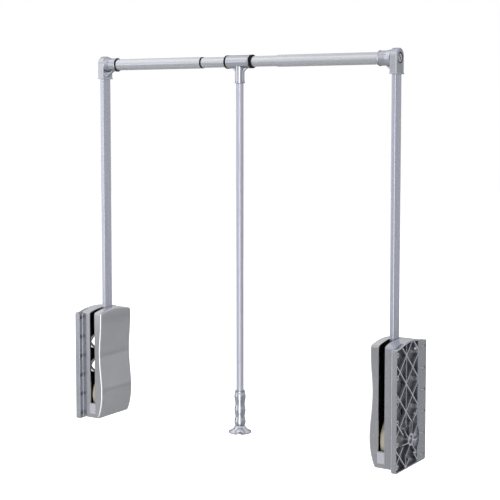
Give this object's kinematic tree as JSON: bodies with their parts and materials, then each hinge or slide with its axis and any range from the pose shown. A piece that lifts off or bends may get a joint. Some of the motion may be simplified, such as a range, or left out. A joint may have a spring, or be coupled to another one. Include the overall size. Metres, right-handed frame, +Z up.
{
  "type": "pull-down closet rod",
  "caption": "Pull-down closet rod: slotted lift units carry swinging arms, a telescopic hanging rod across the top and a pull rod with a flared grip.",
  "frame": {"origin": "middle of the footprint, at the foot of the wall plates", "axes": "+X to the right-hand wall, +Y to the back of the closet, +Z up; the arms swing towards -Y"},
  "size_m": [0.834, 0.139, 0.85],
  "materials": {
    "case_plastic": "satin grey, moulded",
    "cover_plastic": "satin grey, moulded",
    "bumper_plastic": "light grey",
    "nylon": "natural beige",
    "bush_plastic": "dark bearing plastic",
    "plug_plastic": "dark",
    "steel": "ground",
    "screw_steel": "zinc plated",
    "cylinder_paint": "black, semi-gloss",
    "arm_aluminium": "bluish silver, satin",
    "rod_tube": "silver, satin",
    "cast_metal": "polished silver",
    "dark_ring": "black"
  },
  "bodies": {
    "rail": {"inner_tube": "rod_tube", "right_tee_ring": "dark_ring", "left_tee_ring": "dark_ring"},
    "pull_handle": {"tee": "cast_metal", "tee_pin": "screw_steel", "pull_rod": "arm_aluminium", "grip": "cast_metal", "grip_foot": "cast_metal", "foot_screw": "screw_steel"},
    "right_unit": {"right_wall_case": "case_plastic", "right_cover": "cover_plastic", "right_bumper": "bumper_plastic", "right_axle": "steel", "right_axle_washer": "steel", "right_case_screws": "screw_steel", "right_cylinder": "cylinder_paint", "right_cylinder_pin": "steel"},
    "right_lift": {"right_hub": "nylon", "right_hub_bushes": "bush_plastic", "right_arm": "arm_aluminium", "right_arm_rivets": "screw_steel", "right_elbow": "cast_metal", "right_elbow_screw": "screw_steel", "right_end_plug": "plug_plastic", "right_elbow_seal": "cast_metal", "right_outer_tube": "rod_tube", "right_ferrule": "rod_tube"},
    "right_rack": {"right_rack": "nylon", "right_piston_rod": "steel"},
    "left_unit": {"left_wall_case": "case_plastic", "left_cover": "cover_plastic", "left_bumper": "bumper_plastic", "left_axle": "steel", "left_axle_washer": "steel", "left_case_screws": "screw_steel", "left_cylinder": "cylinder_paint", "left_cylinder_pin": "steel"},
    "left_lift": {"left_hub": "nylon", "left_hub_bushes": "bush_plastic", "left_arm": "arm_aluminium", "left_arm_rivets": "screw_steel", "left_elbow": "cast_metal", "left_elbow_screw": "screw_steel", "left_end_plug": "plug_plastic", "left_elbow_seal": "dark_ring", "left_outer_tube": "rod_tube", "left_ferrule": "dark_ring"},
    "left_rack": {"left_rack": "nylon", "left_piston_rod": "steel"}
  },
  "joints": [
    {"name": "arm_lift", "type": "hinge", "parent": "right_unit", "child": "right_lift", "pos_m": [0.3775, 0, 0.056], "axis": [1, 0, 0], "range_deg": [0, 95], "stiffness_Nm_per_rad": 8, "springref_deg": -34.38},
    {"name": "right_tube_slide", "type": "slide", "parent": "right_lift", "child": "rail", "axis": [1, 0, 0], "range_m": [-0.08, 0.058]},
    {"name": "left_tube_slide", "type": "slide", "parent": "rail", "child": "left_lift", "axis": [1, 0, 0], "range_m": [-0.08, 0.058]},
    {"name": "left_unit_level", "type": "hinge", "parent": "left_lift", "child": "left_unit", "pos_m": [-0.3775, 0, 0.056], "axis": [1, 0, 0], "range_deg": [-96, 1]},
    {"name": "right_rack_slide", "type": "slide", "parent": "right_unit", "child": "right_rack", "axis": [0, 0, 1], "range_m": [-0.0005, 0.0385]},
    {"name": "left_rack_slide", "type": "slide", "parent": "left_unit", "child": "left_rack", "axis": [0, 0, 1], "range_m": [-0.0005, 0.0385]},
    {"name": "handle_swing", "type": "hinge", "parent": "rail", "child": "pull_handle", "pos_m": [0, 0, 0.83], "axis": [1, 0, 0], "continuous": true}
  ],
  "couplings": [
    {"joint": "left_unit_level", "follows": "arm_lift", "ratio": -1},
    {"joint": "right_rack_slide", "follows": "arm_lift", "m_per_rad": 0.0225},
    {"joint": "left_rack_slide", "follows": "arm_lift", "m_per_rad": 0.0225}
  ]
}
